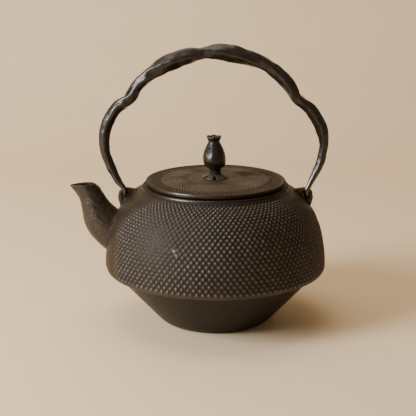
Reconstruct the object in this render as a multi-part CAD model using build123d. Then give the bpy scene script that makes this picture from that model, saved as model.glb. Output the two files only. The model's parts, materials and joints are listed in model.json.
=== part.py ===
"""Cast iron water kettle: a dome over a cone, with a spout, two lugs, a lid and a forged swing handle.

Millimetres. +Z is up and Z = 0 is the flat of the base, with the origin at its centre.
The spout points to -X, and the handle arches over the lid in the XZ plane.
"""

import os
from math import atan2, cos, radians, sin

from build123d import *

# Body, as (radius, height) points: a cone on a flat base, a small step, a dome and a low collar.
BASE_RADIUS = 46.0
HEEL = (BASE_RADIUS + 5.5, 4.0)
STEP = (89.5, 45.8)
SKIRT = (95.8, 47.1)
BELLY = (96.3, 53.0)
DOME_POINTS = [(95.2, 66.0), (91.6, 83.3), (84.0, 100.0), (75.6, 110.7)]
SHOULDER = (66.0, 117.3)
COLLAR = (62.5, 121.0)
COLLAR_EDGE = (COLLAR[0] + 1.1, COLLAR[1] - 1.8)
MOUTH_RADIUS = 54.0
WALL = 3.6

# Spout sections from root to lip: x and z of the centre, tilt in degrees, half length, half width.
SPOUT_SECTIONS = [
    (-80.0, 71.0, 62.0, 19.5, 17.0),
    (-99.5, 87.0, 50.0, 16.6, 14.0),
    (-105.5, 98.0, 36.0, 13.0, 11.0),
    (-108.5, 107.0, 20.0, 11.2, 9.0),
    (-115.2, 121.0, 0.0, 11.0, 7.4),
]
SPOUT_WALL = 3.0

# Lugs: an upright plate each side, with an oval hole that the handle hooks into.
LUG_THICKNESS = 4.5
LUG_EDGE_ROUND = 1.3
LUG_HOLE = (78.6, 110.2)
LUG_HOLE_SIZE = (5.0, 6.4)
LUG_TOP_Z = 118.2
LUG_TOP = [(60.0, 112.0), (68.5, 116.2), (73.0, 117.4)]
LUG_NOSE = [(LUG_HOLE[0], LUG_TOP_Z), (83.7, 115.2), (85.1, 109.5), (83.2, 101.0)]
LUG_FOOT = (76.0, 100.0)

# Handle: its hooks wrap the bar above each lug hole, and it swings about that bar's centre line.
PIVOT_Z = (LUG_HOLE[1] + LUG_HOLE_SIZE[1] / 2 + LUG_TOP_Z) / 2
HOOK_BEND_RADIUS = 5.0
HOOK_RADIUS = 1.9

# The handle's bar from left to right: x, y and z of its centre line, and its radius there.
BAR_STATIONS = [
    (-82.5, -4.3, 121.5, 2.6),
    (-87.8, -1.4, 130.5, 3.7),
    (-94.3, 0.0, 144.5, 4.3),
    (-95.9, 0.0, 160.0, 4.9),
    (-91.2, 0.0, 178.6, 4.9),
    (-77.8, 0.0, 192.6, 5.3),
    (-69.8, 0.0, 202.6, 5.2),
    (-57.0, 0.0, 216.0, 5.9),
    (-33.0, 0.0, 229.4, 6.9),
    (-11.0, 0.0, 235.0, 5.2),
    (13.0, 0.0, 234.3, 7.0),
    (38.8, 0.0, 226.7, 6.2),
    (59.2, 0.0, 211.3, 5.8),
    (68.4, 0.0, 197.5, 5.2),
    (80.3, 0.0, 187.5, 5.0),
    (90.7, 0.0, 170.5, 5.2),
    (93.4, 0.0, 152.4, 3.8),
    (88.2, -1.4, 134.0, 3.5),
    (81.7, -4.3, 121.5, 2.4),
]

# Lid: rests on the collar and hangs a locating ring into the mouth.
LID_RADIUS = 60.0
LID_RIM_Z = 125.4
LID_RIM_WIDTH = 1.4
LID_RIM_BEAD = 0.3
LID_CENTRE_Z = 126.5
LID_PLATE = 3.2
LID_REST_GAP = 0.05
LID_EDGE_CHAMFER = (1.8, 0.9)
LID_RING_OUTER = 52.6
LID_RING_WIDTH = 2.6
LID_RING_DEPTH = 6.5
LID_DISC_RADIUS = 47.0
LID_STEP = 0.5

# Pin through knob, petal washer, lid and flat washer, with a rivet head at its lower end.
PIN_RADIUS = 2.2
PIN_CLEARANCE = 0.08
PIN_TOP_Z = 150.0
FACE_GAP = 0.03
RIVET_RADIUS = 4.2
RIVET_HEIGHT = 1.8
WASHER_RADIUS = 8.0
WASHER_THICKNESS = 1.4

# Petal washer between lid and knob.
SEAT_RADIUS = 12.8
SEAT_EDGE = 1.6
SEAT_HEIGHT = 3.4
SEAT_PETALS = 6
PETAL_NOTCH_RADIUS = 2.0

# Knob: a stem, a bud and a crown of lobes.
STEM_RADIUS = 4.8
STEM_TOP_Z = 133.8
BUD_POINTS = [(8.3, 136.9), (9.7, 143.2), (8.4, 149.5)]
NECK = (5.0, 157.7)
CROWN_RADIUS = 6.4
CROWN_EDGE = 1.0
CROWN_DISH = 1.5
KNOB_TOP_Z = 163.7
CROWN_LOBES = 6
CROWN_NOTCH_RADIUS = 1.2
CROWN_NOTCH_DEPTH = 2.5


def xz(points):
    """(x, z) pairs as points in the XZ plane."""
    return [Vector(x, 0, z) for x, z in points]


def turned(*edges):
    """The solid made by turning a closed outline about the Z axis."""
    return revolve(make_face(Curve() + list(edges)), axis=Axis.Z)


def rod(radius, bottom, top, turn=0.0, distance=0.0):
    """An upright cylinder between two heights, on the Z axis or at a distance from it."""
    height = top - bottom
    return Rot(0, 0, turn) * Pos(distance, 0, bottom + height / 2) * Cylinder(radius, height)


def inward(point, depth):
    """A dome point moved in by depth, towards the middle of the belly."""
    radius, z = point
    angle = atan2(z - BELLY[1], radius)
    return radius - depth * cos(angle), z - depth * sin(angle)


def dome(depth=0.0):
    """Outline of the dome from belly to shoulder, or of the wall's inside at that depth."""
    return Spline(*xz([inward(point, depth) for point in [BELLY, *DOME_POINTS, SHOULDER]]))


def body_blank():
    """The body's outside as a solid, with no cavity yet."""
    lower = Polyline(*xz([(0, COLLAR[1]), (0, 0), (BASE_RADIUS, 0), HEEL, STEP, SKIRT, BELLY]))
    collar = Polyline(*xz([SHOULDER, COLLAR_EDGE, COLLAR, (0, COLLAR[1])]))
    return turned(lower, dome(), collar)


def cavity():
    """The room for water, and the mouth above it."""
    cone = Vector(STEP[0] - HEEL[0], STEP[1] - HEEL[1]).normalized()
    cone_top = (STEP[0] - cone.Y * WALL, STEP[1] + cone.X * WALL)
    shoulder = inward(SHOULDER, WALL)
    axis_top = (0, shoulder[1])
    lower = Polyline(*xz([axis_top, (0, WALL), (BASE_RADIUS, WALL), cone_top, inward(BELLY, WALL)]))
    room = turned(lower, dome(WALL), Line(*xz([shoulder, axis_top])))
    return room + rod(MOUTH_RADIUS, shoulder[1] - WALL, COLLAR[1] + WALL)


def spout(inset=0.0):
    """The spout's outside, or its bore when the sections are inset by the wall."""
    sections = []
    for x, z, tilt, half_length, half_width in SPOUT_SECTIONS:
        along, up = cos(radians(tilt)), sin(radians(tilt))
        place = Plane(origin=(x, 0, z), x_dir=(along, 0, up), z_dir=(-up, 0, along))
        sections.append(place * Ellipse(half_length - inset, half_width - inset))
    return loft(sections)


def lug(side):
    """One lug: a plate in the XZ plane with rounded edges and an oval hole along Y."""
    top = Polyline(*xz(LUG_TOP))
    nose = Spline(*xz([LUG_TOP[-1], *LUG_NOSE]))
    foot = Polyline(*xz([LUG_NOSE[-1], LUG_FOOT, LUG_TOP[0]]))
    outline = make_face(Curve() + [top, nose, foot])
    plate = extrude(outline, amount=LUG_THICKNESS / 2, dir=(0, 1, 0), both=True)
    hole_x, hole_z = LUG_HOLE
    width, height = LUG_HOLE_SIZE
    slot = Plane(origin=(hole_x, 0, hole_z), x_dir=(0, 0, 1), z_dir=(0, 1, 0)) * SlotOverall(height, width)
    plate -= extrude(slot, amount=LUG_THICKNESS, both=True)
    rims = [edge for edge in plate.edges() if abs(edge.center().Y) > LUG_THICKNESS / 2 - LUG_EDGE_ROUND / 2]
    plate = fillet(rims, LUG_EDGE_ROUND)
    return plate if side > 0 else mirror(plate, about=Plane.YZ)


def kettle_body():
    """The body casting: dome, cone, spout and lugs in one piece, hollow and bored through the spout."""
    casting = body_blank() + spout() + lug(-1) + lug(1)
    return casting - cavity() - spout(SPOUT_WALL)


def hook(side):
    """The round hook that goes down in front of a lug's top bar, under it and up behind it."""
    x = side * LUG_HOLE[0]
    front = Vector(x, -HOOK_BEND_RADIUS, PIVOT_Z)
    under = Vector(x, 0, PIVOT_Z - HOOK_BEND_RADIUS)
    rear = Vector(x, HOOK_BEND_RADIUS, PIVOT_Z)
    path = ThreePointArc(front, under, rear)
    bar = sweep(Plane(origin=front, z_dir=(0, 0, -1)) * Circle(HOOK_RADIUS), path=path)
    return bar + Pos(rear) * Sphere(HOOK_RADIUS)


def bar_section(point, direction, radius):
    """A round section of the bar, square to the way the bar runs."""
    across = Vector(0, 1, 0).cross(direction).normalized()
    return Plane(origin=point, x_dir=across, z_dir=direction) * Circle(radius)


def arch():
    """The forged bar between the hooks, thin at its ends and swelling between its knuckles."""
    left, right = [Vector(side * LUG_HOLE[0], -HOOK_BEND_RADIUS, PIVOT_Z) for side in (-1, 1)]
    points = [left, *[Vector(x, y, z) for x, y, z, _ in BAR_STATIONS], right]
    radii = [HOOK_RADIUS, *[radius for *_, radius in BAR_STATIONS], HOOK_RADIUS]
    line = Spline(*points, tangents=[(0, 0, 1), (0, 0, -1)])
    directions = [line % line.param_at_point(point) for point in points]
    return loft([bar_section(*station) for station in zip(points, directions, radii)])


def handle():
    """The swing handle, one forged piece."""
    return arch() + hook(-1) + hook(1)


def lid():
    """The lid: a thin plate with a raised rim and centre, a locating ring below and a hole for the pin."""
    rest_z = COLLAR[1] + LID_REST_GAP
    ring_inner = LID_RING_OUTER - LID_RING_WIDTH
    under_centre = LID_CENTRE_Z - LID_PLATE
    chamfer_in, chamfer_up = LID_EDGE_CHAMFER
    outline = [
        (0, LID_CENTRE_Z),
        (SEAT_RADIUS + 1, LID_CENTRE_Z),
        (LID_DISC_RADIUS, LID_RIM_Z + LID_STEP),
        (LID_DISC_RADIUS + LID_STEP, LID_RIM_Z),
        (LID_RADIUS - LID_RIM_WIDTH - LID_RIM_BEAD, LID_RIM_Z - LID_RIM_BEAD),
        (LID_RADIUS - LID_RIM_WIDTH, LID_RIM_Z),
        (LID_RADIUS, LID_RIM_Z),
        (LID_RADIUS, rest_z + chamfer_up),
        (LID_RADIUS - chamfer_in, rest_z),
        (LID_RING_OUTER, rest_z),
        (LID_RING_OUTER, rest_z - LID_RING_DEPTH),
        (ring_inner, rest_z - LID_RING_DEPTH),
        (ring_inner, rest_z),
        (SEAT_RADIUS, under_centre),
        (0, under_centre),
        (0, LID_CENTRE_Z),
    ]
    return turned(Polyline(*xz(outline))) - rod(PIN_RADIUS + PIN_CLEARANCE, COLLAR[1], KNOB_TOP_Z)


def knob_seat():
    """The petal washer: a shallow cup under the knob, notched into petals round its edge."""
    low = LID_CENTRE_Z + FACE_GAP
    high = low + SEAT_HEIGHT
    edge_in, edge_up = SEAT_RADIUS - SEAT_EDGE, low + SEAT_EDGE
    rim = [(edge_in, low), (SEAT_RADIUS, edge_up), (edge_in, edge_up)]
    cup = turned(Polyline(*xz([(0, low), *rim, (STEM_RADIUS, high), (0, high), (0, low)])))
    for petal in range(SEAT_PETALS):
        turn = (petal + 0.5) * 360 / SEAT_PETALS
        cup -= rod(PETAL_NOTCH_RADIUS, low - FACE_GAP, high, turn, SEAT_RADIUS)
    return cup - rod(PIN_RADIUS + PIN_CLEARANCE, low - FACE_GAP, high)


def knob():
    """The knob: a stem, a bud and a lobed crown, with a blind hole for the pin."""
    low = LID_CENTRE_Z + SEAT_HEIGHT + 2 * FACE_GAP
    dish = (0, KNOB_TOP_Z - CROWN_DISH)
    stem = Polyline(*xz([dish, (0, low), (STEM_RADIUS, low), (STEM_RADIUS, STEM_TOP_Z)]))
    bud = Spline(*xz([(STEM_RADIUS, STEM_TOP_Z), *BUD_POINTS, NECK]))
    crown_edge = (CROWN_RADIUS, KNOB_TOP_Z - 2 * CROWN_EDGE)
    crown = Polyline(*xz([NECK, crown_edge, (CROWN_RADIUS - CROWN_EDGE, KNOB_TOP_Z), dish]))
    blank = turned(stem, bud, crown)
    for lobe in range(CROWN_LOBES):
        turn = lobe * 360 / CROWN_LOBES
        blank -= rod(CROWN_NOTCH_RADIUS, KNOB_TOP_Z - CROWN_NOTCH_DEPTH, KNOB_TOP_Z, turn, CROWN_RADIUS)
    return blank - rod(PIN_RADIUS + FACE_GAP, low - FACE_GAP, PIN_TOP_Z + FACE_GAP)


def pin_washer():
    """The flat washer against the lid's underside."""
    high = LID_CENTRE_Z - LID_PLATE - FACE_GAP
    low = high - WASHER_THICKNESS
    return rod(WASHER_RADIUS, low, high) - rod(PIN_RADIUS + PIN_CLEARANCE, low - FACE_GAP, high + FACE_GAP)


def knob_pin():
    """The pin, spread into a rivet head under the flat washer."""
    head_top = LID_CENTRE_Z - LID_PLATE - WASHER_THICKNESS - 2 * FACE_GAP
    low = head_top - RIVET_HEIGHT
    edge = (RIVET_RADIUS, head_top - RIVET_HEIGHT / 3)
    head = turned(
        Polyline(*xz([(0, low), (PIN_RADIUS, low), edge, (RIVET_RADIUS, head_top), (0, head_top), (0, low)]))
    )
    return rod(PIN_RADIUS, head_top, PIN_TOP_Z) + head


PIECES = [kettle_body, handle, lid, knob_seat, knob, knob_pin, pin_washer]

os.makedirs("parts", exist_ok=True)
for build in PIECES:
    piece = build()
    piece.label = build.__name__
    export_step(piece, f"parts/{build.__name__}.step")
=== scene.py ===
"""The looks of the iron kettle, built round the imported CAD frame."""

import json
import math

import bpy
import numpy as np
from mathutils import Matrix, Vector


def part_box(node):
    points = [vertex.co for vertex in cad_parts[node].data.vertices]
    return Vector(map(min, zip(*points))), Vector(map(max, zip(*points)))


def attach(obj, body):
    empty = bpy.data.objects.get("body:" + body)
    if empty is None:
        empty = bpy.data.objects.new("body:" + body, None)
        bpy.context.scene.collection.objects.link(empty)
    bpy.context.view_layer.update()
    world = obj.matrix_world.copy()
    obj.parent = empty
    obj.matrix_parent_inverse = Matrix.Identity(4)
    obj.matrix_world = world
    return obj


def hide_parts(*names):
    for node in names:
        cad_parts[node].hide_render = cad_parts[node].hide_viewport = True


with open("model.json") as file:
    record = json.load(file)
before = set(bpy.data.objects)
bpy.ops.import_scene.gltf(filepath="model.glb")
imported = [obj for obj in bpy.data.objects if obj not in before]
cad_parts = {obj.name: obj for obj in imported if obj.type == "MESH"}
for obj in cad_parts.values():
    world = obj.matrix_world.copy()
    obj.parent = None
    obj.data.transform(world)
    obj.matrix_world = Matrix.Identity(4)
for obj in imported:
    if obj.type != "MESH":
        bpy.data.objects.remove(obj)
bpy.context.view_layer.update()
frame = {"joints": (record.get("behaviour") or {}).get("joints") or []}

MM = 0.001
RNG = np.random.default_rng(7)

# ---------------------------------------------------------------- driving dimensions, millimetres
BODY_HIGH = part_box("kettle_body")[1] / MM
LID_LOW, LID_HIGH = [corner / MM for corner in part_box("lid")]
KNOB_LOW, KNOB_HIGH = [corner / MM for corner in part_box("knob")]
SEAT_LOW, SEAT_HIGH = [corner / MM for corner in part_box("knob_seat")]
PIN_LOW, PIN_HIGH = [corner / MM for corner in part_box("knob_pin")]
WASHER_LOW, WASHER_HIGH = [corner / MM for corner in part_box("pin_washer")]

BELLY_R = BODY_HIGH.y
COLLAR_Z = BODY_HIGH.z
LID_R = LID_HIGH.x
LID_TOP = LID_HIGH.z
PIN_HOLE_R = 2.3

# The body's outline stops this close to the axis, where a fan of triangles closes it.
AXIS_R = 1.5
# Body outline as (radius, height): the base with its shallow recess, then up to the collar.
FOOT = [(AXIS_R, 0.5), (12.5, 0.5), (13.5, 1.0), (34.5, 1.0), (36.5, 0.0), (44.5, 0.0)]
CONE = [(51.5, 4.0), (88.3, 44.5)]
HEEL = [FOOT[-1], (48.0, 1.2), CONE[0]]
SKIRT = [(89.6, 45.8), (90.4, 46.1), (94.6, 46.6), (95.6, 47.3), (96.0, 48.6)]
DOME = [
    (BELLY_R, 53.0), (95.2, 66.0), (91.6, 83.3), (84.0, 100.0), (75.6, 110.7), (66.0, 117.5), (64.5, 118.8),
]
COLLAR = [(63.9, 119.3), (63.6, 119.9), (63.3, 120.5), (62.4, COLLAR_Z)]
MOUTH_R = 54.0
WALL = 3.6
# Inside of the wall as (radius, height), below the dome.
CAVITY_FLOOR = [(1.0, WALL), (44.0, WALL), (48.0, WALL + 1.4), (86.8, 48.2)]

# Raised dots. Their row spacing and radius are shares of the pitch round the kettle.
DOTS_ROUND = 118
DOT_ROW_RATIO = 0.65
DOT_SIZE = 0.41
DOT_HEIGHT = 1.1
# How unevenly the dots are placed, sized and raised.
PLACE_JITTER = 0.02
SIZE_JITTER = 0.05
HEIGHT_JITTER = 0.08
# The skirt's edge lies this far along from row 0; the first dots stand on row 1.
FIRST_ROW = 0.4
# The last rows below the collar are lower, and the surface meets skirt and collar within a part of a row.
TOP_ROWS_FADE = 1.8
TOP_ROW_HEIGHT = 0.55
INSET_FADE_ROWS = 0.8
DOT_FADE_ROWS = 0.25
DOT_STEPS_ROUND = 12
DOT_STEPS_ROW = 8
# The dotted skin lies this much inside the outline, so that the dots stand out of it.
DOME_INSET = 0.5
# Half width in degrees of the plain patches without dots, against height: round the spout and each lug.
SPOUT_PATCH = [(50, 23), (65, 22), (75, 20), (88, 16), (98, 18), (106, 24), (112, 31), (118, 40)]
LUG_PATCH = [(98, 0), (103, 9), (109, 19), (118, 34)]
PATCH_FADE = 9.0
# The dome swells a little below the spout, where it has no dots.
SPOUT_SWELL = 0.6
SWELL_TOP_Z = 92.0
SWELL_FADE = 20.0
# A worn patch of low dots: turn in degrees, height, its size, and the share of their height that they lost.
WORN_TURN = -125.0
WORN_Z = 84.0
WORN_SIZE = (18.0, 12.5)
WORN_LOSS = 0.68
# All dots vary a little in height from place to place.
PATCHINESS = 0.06
# Collar and lid rim are rubbed bright round this turn, in degrees.
RUB_TURN = -114.0
RUB_SPREAD = 26.0
# Small bright chips in the skin: turn in degrees, height and radius.
CHIPS = [(-112.3, 85.1, 1.4), (-110.8, 82.0, 1.15)]


# ---------------------------------------------------------------- mesh helpers
TINY = 1e-9
RIPPLE_WAVES = 14


def smooth_curve(points, per_span):
    """A Catmull-Rom curve through the points, in any number of dimensions."""
    p = np.asarray(points, float)
    p = np.vstack([2 * p[0] - p[1], p, 2 * p[-1] - p[-2]])
    out = []
    for i in range(1, len(p) - 2):
        gaps = [math.sqrt(np.linalg.norm(p[k + 1] - p[k])) + TINY for k in range(i - 1, i + 2)]
        t0, t1, t2, t3 = np.cumsum([0, *gaps])
        t = np.linspace(t1, t2, per_span, endpoint=False)[:, None]
        a1 = (t1 - t) / (t1 - t0) * p[i - 1] + (t - t0) / (t1 - t0) * p[i]
        a2 = (t2 - t) / (t2 - t1) * p[i] + (t - t1) / (t2 - t1) * p[i + 1]
        a3 = (t3 - t) / (t3 - t2) * p[i + 1] + (t - t2) / (t3 - t2) * p[i + 2]
        b1 = (t2 - t) / (t2 - t0) * a1 + (t - t0) / (t2 - t0) * a2
        b2 = (t3 - t) / (t3 - t1) * a2 + (t - t1) / (t3 - t1) * a3
        out.append((t2 - t) / (t2 - t1) * b1 + (t - t1) / (t2 - t1) * b2)
    out.append(p[-2][None])
    return np.vstack(out)


def arc_length(points):
    """Distance along a run of points."""
    return np.concatenate([[0.0], np.cumsum(np.linalg.norm(np.diff(points, axis=0), axis=1))])


def resample(points, count, place=None):
    """The same run of points, evenly spaced along their first columns, which give the place."""
    s = arc_length(points[:, :place])
    even = np.linspace(0, s[-1], count)
    return np.stack([np.interp(even, s, column) for column in points.T], 1)


def ring_faces(rows, cols, wrap_rows=False):
    """Quads of a grid whose columns close on themselves; its rows may too."""
    row = np.arange(rows if wrap_rows else rows - 1)[:, None]
    col = np.arange(cols)[None, :]
    next_row, next_col = (row + 1) % rows, (col + 1) % cols
    quads = [row * cols + col, row * cols + next_col, next_row * cols + next_col, next_row * cols + col]
    return np.stack(np.broadcast_arrays(*quads), -1).reshape(-1, 4)


def add_mesh(name, points, face_sets):
    """A smooth mesh object from points in millimetres and arrays of faces."""
    mesh = bpy.data.meshes.new(name)
    corners = np.concatenate([faces.ravel() for faces in face_sets])
    sizes = np.concatenate([np.full(len(faces), faces.shape[1]) for faces in face_sets])
    mesh.vertices.add(len(points))
    mesh.vertices.foreach_set("co", (points * MM).astype(np.float32).ravel())
    mesh.loops.add(len(corners))
    mesh.loops.foreach_set("vertex_index", corners.astype(np.int32))
    mesh.polygons.add(len(sizes))
    mesh.polygons.foreach_set("loop_start", (np.cumsum(sizes) - sizes).astype(np.int32))
    mesh.update(calc_edges=True)
    mesh.validate()
    mesh.shade_smooth()
    made = bpy.data.objects.new(name, mesh)
    bpy.context.scene.collection.objects.link(made)
    return made


def capped_tube(name, rings):
    """A closed solid from rings of points (rows, columns, 3), with a fan over each end."""
    rows, cols, _ = rings.shape
    ends = np.stack([rings[0].mean(0), rings[-1].mean(0)])
    points = np.vstack([rings.reshape(-1, 3), ends])
    col = np.arange(cols)
    first = np.stack([np.full(cols, rows * cols), (col + 1) % cols, col], 1)
    top = (rows - 1) * cols
    last = np.stack([np.full(cols, rows * cols + 1), top + col, top + (col + 1) % cols], 1)
    return add_mesh(name, points, [ring_faces(rows, cols), first, last])


def looped_tube(name, rings):
    """A closed ring-shaped solid: rows close on themselves as well as columns."""
    rows, cols, _ = rings.shape
    return add_mesh(name, rings.reshape(-1, 3), [ring_faces(rows, cols, wrap_rows=True)])


def turns(count):
    """Evenly spaced angles round a circle."""
    return np.arange(count) * 2 * math.pi / count


def around(r, angle, z):
    """Points from radius, angle and height."""
    return np.stack(np.broadcast_arrays(r * np.cos(angle), r * np.sin(angle), z), -1)


def revolve(profile, cols):
    """Rings of points from an outline of (radius, height)."""
    return around(profile[:, :1], turns(cols), profile[:, 1:2])


def bent(value, power):
    """A sine or cosine bent by a power, which makes a round section squarer or more pointed."""
    return np.sign(value) * np.abs(value) ** power


def ease(share):
    """A share from 0 to 1 with soft ends."""
    return share * share * (3 - 2 * share)


def wrapped(turn):
    """An angle brought to between minus and plus half a turn."""
    return (turn + math.pi) % (2 * math.pi) - math.pi


def combine(target, tool, operation):
    """Boolean of two closed meshes; the tool is used up."""
    change = target.modifiers.new(operation, "BOOLEAN")
    change.object = tool
    change.operation = operation
    change.solver = "MANIFOLD"
    apply_modifiers(target)
    bpy.data.objects.remove(tool)


def apply_modifiers(target):
    """Replace the mesh by its evaluated form."""
    graph = bpy.context.evaluated_depsgraph_get()
    solid = bpy.data.meshes.new_from_object(target.evaluated_get(graph))
    target.modifiers.clear()
    target.data = solid


def ripple(points, size, seed):
    """A smooth random field over points in millimetres, about -1 to 1, with bumps of the given size."""
    rng = np.random.default_rng(seed)
    field = np.zeros(points.shape[:-1])
    for _ in range(RIPPLE_WAVES):
        direction = rng.normal(0, 1, 3)
        direction *= rng.uniform(0.6, 1.5) / np.linalg.norm(direction)
        field += np.sin(points @ direction * (2 * math.pi / size) + rng.uniform(0, 2 * math.pi))
    return field / 4.0


def hammer_dents(points, count, radius, depth, seed):
    """Depth of round hammer dents over points in millimetres, at seeded places on the surface itself."""
    rng = np.random.default_rng(seed)
    flat = points.reshape(-1, 3)
    centres = flat[rng.integers(0, len(flat), count)]
    dents = np.zeros(len(flat))
    for centre in centres:
        reach = radius * rng.uniform(0.7, 1.3)
        q = np.linalg.norm(flat - centre, axis=1) / reach
        dents = np.maximum(dents, depth * rng.uniform(0.5, 1.2) * np.clip(1 - q * q, 0, 1))
    return dents.reshape(points.shape[:-1])


def mesh_points(target):
    """The mesh's points in millimetres."""
    flat = np.empty(len(target.data.vertices) * 3, np.float32)
    target.data.vertices.foreach_get("co", flat)
    return flat.reshape(-1, 3) / MM


def paint(target, name, values):
    """Store a number on each point, for the material."""
    target.data.attributes.new(name, "FLOAT", "POINT").data.foreach_set("value", values.astype(np.float32))


def finish_piece(piece, body, slot, *nodes, look=None):
    """Give a piece its body, its material and the CAD nodes that it stands for."""
    piece.data.materials.clear()
    piece.data.materials.append(MATERIALS[look or slot])
    piece.data.polygons.foreach_set("material_index", np.zeros(len(piece.data.polygons), np.int32))
    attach(piece, body)
    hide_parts(*nodes)


# ---------------------------------------------------------------- body
DOME_POINTS = 1200


def dome_profile():
    """Finely spaced dome outline from skirt to shoulder."""
    return resample(smooth_curve([SKIRT[-1], *DOME], 60), DOME_POINTS)


def dome_rows():
    """Rows of the dome's mesh: radius, height, normal and dot-row number, evenly spaced in rows."""
    line = dome_profile()
    s = arc_length(line)
    slope = np.gradient(line, s, axis=0)
    pitch = 2 * math.pi * line[:, 0] / DOTS_ROUND
    number = FIRST_ROW + np.concatenate([[0.0], np.cumsum(np.diff(s) / (DOT_ROW_RATIO * pitch[:-1]))])
    even = np.arange(FIRST_ROW, number[-1], 1.0 / DOT_STEPS_ROW)
    columns = {"r": line[:, 0], "z": line[:, 1], "nr": slope[:, 1], "nz": -slope[:, 0]}
    rows = {name: np.interp(even, number, column) for name, column in columns.items()}
    rows["row"] = even
    return rows


def dot_shape(q):
    """Height of a dot at q times its radius from its centre: a dome with a soft point."""
    q = np.clip(q, 0, 1)
    return 0.62 * (1 - q * q) ** 1.6 + 0.38 * (1 - q) ** 1.5


def dot_field(angle, row, row_r, across, count, keep, rng):
    """Dot height, 0 to 1, over a grid of angles and row numbers; alternate rows sit half a pitch over."""
    total = int(row.max()) + 3
    jitter = rng.normal(0, 1, (total, count, 3))
    centre_r = np.interp(np.arange(total), row, row_r)
    height = np.zeros((len(row), len(angle)))
    for shift in (0, 1):
        k = np.floor(row).astype(int) + shift
        pitch = 2 * math.pi * centre_r[k] / count
        offset = 0.5 * (k % 2)
        u = angle[None, :] * count / (2 * math.pi) - offset[:, None]
        m = np.round(u).astype(int)
        wobble = jitter[k[:, None], m % count]
        du = (u - m) * pitch[:, None] - wobble[..., 0] * PLACE_JITTER * pitch[:, None]
        dv = ((row - k) * across * pitch)[:, None] - wobble[..., 1] * PLACE_JITTER * pitch[:, None]
        size = DOT_SIZE * pitch[:, None] * (1 + SIZE_JITTER * wobble[..., 2])
        dot_angle = (m + offset[:, None]) * 2 * math.pi / count
        here = dot_shape(np.hypot(du, dv) / size) * (1 + HEIGHT_JITTER * wobble[..., 2])
        height = np.maximum(height, here * keep(dot_angle, k[:, None]))
    return height


def rubbed(turn):
    """1 where hands and lid have rubbed the rim bright, falling to 0 round it."""
    return np.exp(-(((turn - math.radians(RUB_TURN)) / math.radians(RUB_SPREAD)) ** 2))


def patch_cover(turn, z):
    """0 on the plain patches round the spout and round the lugs, 1 away from them: one value for each."""
    degrees = np.degrees(wrapped(turn))
    spout_half = np.interp(z, *zip(*SPOUT_PATCH))
    lug_half = np.interp(z, *zip(*LUG_PATCH))
    from_spout = np.clip((180 - np.abs(degrees) - spout_half) / PATCH_FADE, 0, 1)
    from_lug = np.where(lug_half > 0, np.abs(degrees) - lug_half, 90)
    return from_spout, np.clip(from_lug / PATCH_FADE, 0, 1)


def wear(turn, z):
    """1 at the middle of the worn patch, falling to 0 round it."""
    off = wrapped(turn - math.radians(WORN_TURN))
    return np.exp(-((off * BELLY_R / WORN_SIZE[0]) ** 2) - ((z - WORN_Z) / WORN_SIZE[1]) ** 2)


def dot_cover(turn, z):
    """How high the dots stand at a turn and height: 0 on the plain patches, low where worn, 1 elsewhere."""
    cover = np.minimum(*patch_cover(turn, z))
    patchy = 1 - PATCHINESS + PATCHINESS * np.sin(5 * turn + 0.11 * z) * np.sin(0.13 * z + 1.0)
    return cover * patchy * (1 - WORN_LOSS * wear(turn, z))


def body_outer():
    """The outside of the body, with its raised dots, as one closed solid."""
    rows = dome_rows()
    cols = DOTS_ROUND * DOT_STEPS_ROUND
    angle = turns(cols)
    last = int(rows["row"][-1])

    def keep(dot_angle, k):
        """Height of the dot that stands here: none by the spout, the lugs and the skirt's edge."""
        rim = np.clip((last + 1 - k) / TOP_ROWS_FADE, TOP_ROW_HEIGHT, 1) * (k > 0) * (k <= last)
        return rim * dot_cover(dot_angle, np.interp(k, rows["row"], rows["z"]))

    dots = dot_field(angle, rows["row"], rows["r"], DOT_ROW_RATIO, DOTS_ROUND, keep, RNG)
    from_end = np.minimum(rows["row"] - FIRST_ROW, rows["row"][-1] - rows["row"])[:, None]
    edge = np.minimum(1, from_end / INSET_FADE_ROWS)
    dots *= np.minimum(1, from_end / DOT_FADE_ROWS)
    from_spout, from_lug = patch_cover(angle[None, :], rows["z"][:, None])
    swell = SPOUT_SWELL * (1 - from_spout) * np.clip((SWELL_TOP_Z - rows["z"][:, None]) / SWELL_FADE, 0, 1)
    lift = DOT_HEIGHT * dots + (swell - DOME_INSET * np.minimum(from_spout, from_lug)) * edge
    r = rows["r"][:, None] + lift * rows["nr"][:, None]
    z = rows["z"][:, None] + lift * rows["nz"][:, None]
    dome = around(r, angle, z)

    heel = smooth_curve(HEEL, 5)
    cone = resample(np.array(CONE), 26)
    step = smooth_curve([CONE[-1], *SKIRT], 4)
    lower = revolve(np.vstack([FOOT, heel[1:-1], cone, step[1:-1]]), cols)
    collar = smooth_curve([DOME[-1], *COLLAR], 4)[1:]
    upper = revolve(np.vstack([collar, [(50.0, COLLAR_Z), (AXIS_R, COLLAR_Z)]]), cols)
    return capped_tube("kettle_casting", np.concatenate([lower, dome, upper]))


def body_cavity():
    """The inside of the body, up through the mouth."""
    dome = dome_profile()
    s = arc_length(dome)
    slope = np.gradient(dome, s, axis=0)
    inner = (dome - WALL * np.stack([slope[:, 1], -slope[:, 0]], 1))[::60]
    shoulder_z = inner[-1][1]
    above = COLLAR_Z + 3
    mouth = [(MOUTH_R + 2, shoulder_z + 0.6), (MOUTH_R, shoulder_z + 2.0), (MOUTH_R, COLLAR_Z - 0.8)]
    brim = [(MOUTH_R + 0.3, COLLAR_Z - 0.2), (MOUTH_R + 1.2, COLLAR_Z + 0.02)]
    lid_side = [(MOUTH_R + 1.2, above), (1.0, above)]
    profile = np.vstack([CAVITY_FLOOR, inner[1:-1], mouth, brim, lid_side])
    return capped_tube("cavity", revolve(profile, 256))


def dome_radius(z):
    """Radius of the dome's plain surface at a height."""
    line = dome_profile()
    return np.interp(z, line[:, 1], line[:, 0])


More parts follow.
